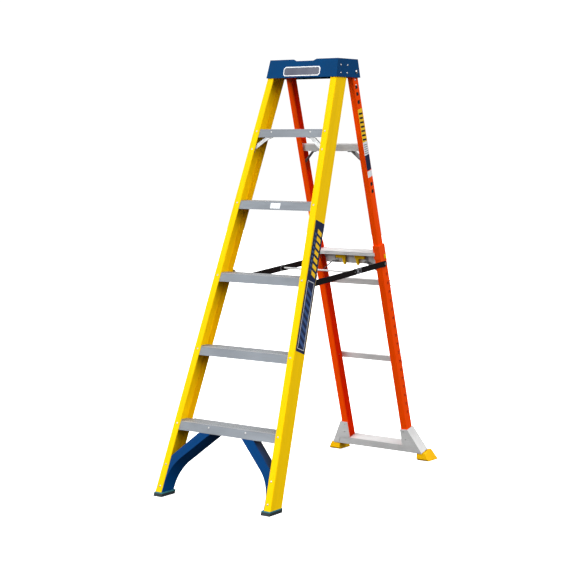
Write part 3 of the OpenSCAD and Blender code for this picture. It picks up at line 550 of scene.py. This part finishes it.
def painted_hole_shade_rings():
    """Painted shade: a dark ring around each lock hole on the outer side of the lower rear rails, for the
    shade inside the holes.
    """
    first = PIN_ALONG - HOLE_PITCH
    along = Vector((0, -math.sin(REAR_LEAN), math.cos(REAR_LEAN)))
    inward = Vector((0, math.cos(REAR_LEAN), math.sin(REAR_LEAN)))
    foot = Vector((0, REAR_REACH - ORIGIN_BEHIND_FRONT, 0))
    inner, outer, low, high = 0.00445, 0.0060, 0.00002, 0.00030
    profile = ((inner, low), (outer, low), (outer, high), (inner, high))
    segments = 24
    for name, side in (("right", 1), ("left", -1)):
        vertices, polygons = [], []
        for k in range(HOLE_COUNT):
            centre = foot + along * (first - k * HOLE_PITCH) + inward * PIN_DEPTH
            base = len(vertices)
            for i in range(segments):
                turn = math.tau * i / segments
                spoke = along * math.cos(turn) + inward * math.sin(turn)
                for radius, out in profile:
                    spot = centre + spoke * radius
                    vertices.append((side * (REAR_HALF_WIDTH + out), spot.y, spot.z))
            for i in range(segments):
                here, there = base + 4 * i, base + 4 * ((i + 1) % segments)
                for a, b in ((0, 1), (1, 2), (2, 3), (3, 0)):
                    corners = [here + a, here + b, there + b, there + a]
                    polygons.append(corners if side > 0 else corners[::-1])
        mesh = bpy.data.meshes.new("hole_mouth_shade_" + name)
        mesh.from_pydata(vertices, [], polygons)
        # The dark ink on these rings is painted shade.
        mesh.materials.append(INK["dark"])
        mesh.validate()
        obj = bpy.data.objects.new("hole_mouth_shade_" + name, mesh)
        bpy.context.scene.collection.objects.link(obj)
        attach(obj, "rear_lower")


def build_labels():
    front_rail_label()
    cap_plate()
    upper_rail_label()
    step_tag()
    spreader_tags()
    painted_hole_shade_rings()


# ---------- camera, floor and light ----------


def aim(obj, target):
    obj.rotation_mode = "QUATERNION"
    obj.rotation_quaternion = (Vector(target) - obj.location).to_track_quat("-Z", "Y")


def make_camera():
    data = bpy.data.cameras.new("camera")
    data.lens = 94.36
    data.sensor_width = 36.0
    data.clip_start = 0.1
    data.clip_end = 100.0
    camera = bpy.data.objects.new("camera", data)
    bpy.context.scene.collection.objects.link(camera)
    camera.location = (3.6533, -5.1271, 1.4138)
    yaw, pitch = math.radians(36.12), math.radians(-5.598)
    ahead = Vector((-math.sin(yaw) * math.cos(pitch), math.cos(yaw) * math.cos(pitch), math.sin(pitch)))
    aim(camera, camera.location + ahead)
    bpy.context.scene.camera = camera


def make_floor():
    """A wide, flat, pale studio floor."""
    size, rows = 14.0, 24
    mesh = bpy.data.meshes.new("floor")
    vertices = [(size * (i / rows * 2 - 1), size * (j / rows * 2 - 1), -0.0005)
                for j in range(rows + 1) for i in range(rows + 1)]
    wide = rows + 1
    polygons = [[j * wide + i, j * wide + i + 1, (j + 1) * wide + i + 1, (j + 1) * wide + i]
                for j in range(rows) for i in range(rows)]
    mesh.from_pydata(vertices, [], polygons)
    floor = bpy.data.objects.new("floor", mesh)
    bpy.context.scene.collection.objects.link(floor)
    g = Graph("floor_pale")
    tone = g.ramp(g.noise((0.6, 0.6, 0.6), 3, 0.5),
                  [(0.3, (0.93, 0.93, 0.93)), (0.7, (0.96, 0.96, 0.96))])
    rough = g.span(g.noise((3, 3, 3), 3, 0.5), 0.85, 0.95)
    g.finish(tone, rough, g.bump(g.noise((60, 60, 60), 3, 0.5), 0.02, 0.001))
    g.bsdf.inputs["Specular IOR Level"].default_value = 0.0
    g.bsdf.inputs["Emission Color"].default_value = (1, 1, 1, 1)
    g.bsdf.inputs["Emission Strength"].default_value = 0.85
    mesh.materials.append(g.mat)
    floor.visible_diffuse = False
    floor.visible_glossy = False


def soft_sun(name, towards, spread, strength, colour=(1, 1, 1)):
    """A wide soft light that comes from a direction, as a large softbox far away does."""
    data = bpy.data.lights.new(name, "SUN")
    data.angle = math.radians(spread)
    data.energy = strength
    data.color = colour
    light = bpy.data.objects.new(name, data)
    bpy.context.scene.collection.objects.link(light)
    light.location = Vector(towards).normalized() * 8
    aim(light, (0, 0, 0))


def make_light():
    world = bpy.data.worlds.new("studio")
    world.use_nodes = True
    tree = world.node_tree
    background = tree.nodes["Background"]
    background.inputs["Color"].default_value = (1, 1, 1, 1)
    where = tree.nodes.new("ShaderNodeTexCoord")
    parts = tree.nodes.new("ShaderNodeSeparateXYZ")
    height = tree.nodes.new("ShaderNodeMapRange")
    height.inputs["From Min"].default_value = -0.35
    height.inputs["From Max"].default_value = 0.35
    height.inputs["To Min"].default_value = 0.04
    height.inputs["To Max"].default_value = 0.42
    seen = tree.nodes.new("ShaderNodeMix")
    path = tree.nodes.new("ShaderNodeLightPath")
    seen.inputs["B"].default_value = 1.05
    tree.links.new(where.outputs["Generated"], parts.inputs[0])
    tree.links.new(parts.outputs["Z"], height.inputs["Value"])
    tree.links.new(height.outputs["Result"], seen.inputs["A"])
    tree.links.new(path.outputs["Is Camera Ray"], seen.inputs["Factor"])
    tree.links.new(seen.outputs["Result"], background.inputs["Strength"])
    bpy.context.scene.world = world
    soft_sun("key", (-2.2, -5.0, 2.4), 45, 2.5)
    soft_sun("side", (4.6, -1.0, 3.0), 50, 2.0)
    soft_sun("top", (0.3, 0.6, 4.6), 60, 0.9)


bpy.context.scene.view_settings.view_transform = "Standard"
dress_nodes()
build_labels()
make_camera()
make_floor()
make_light()
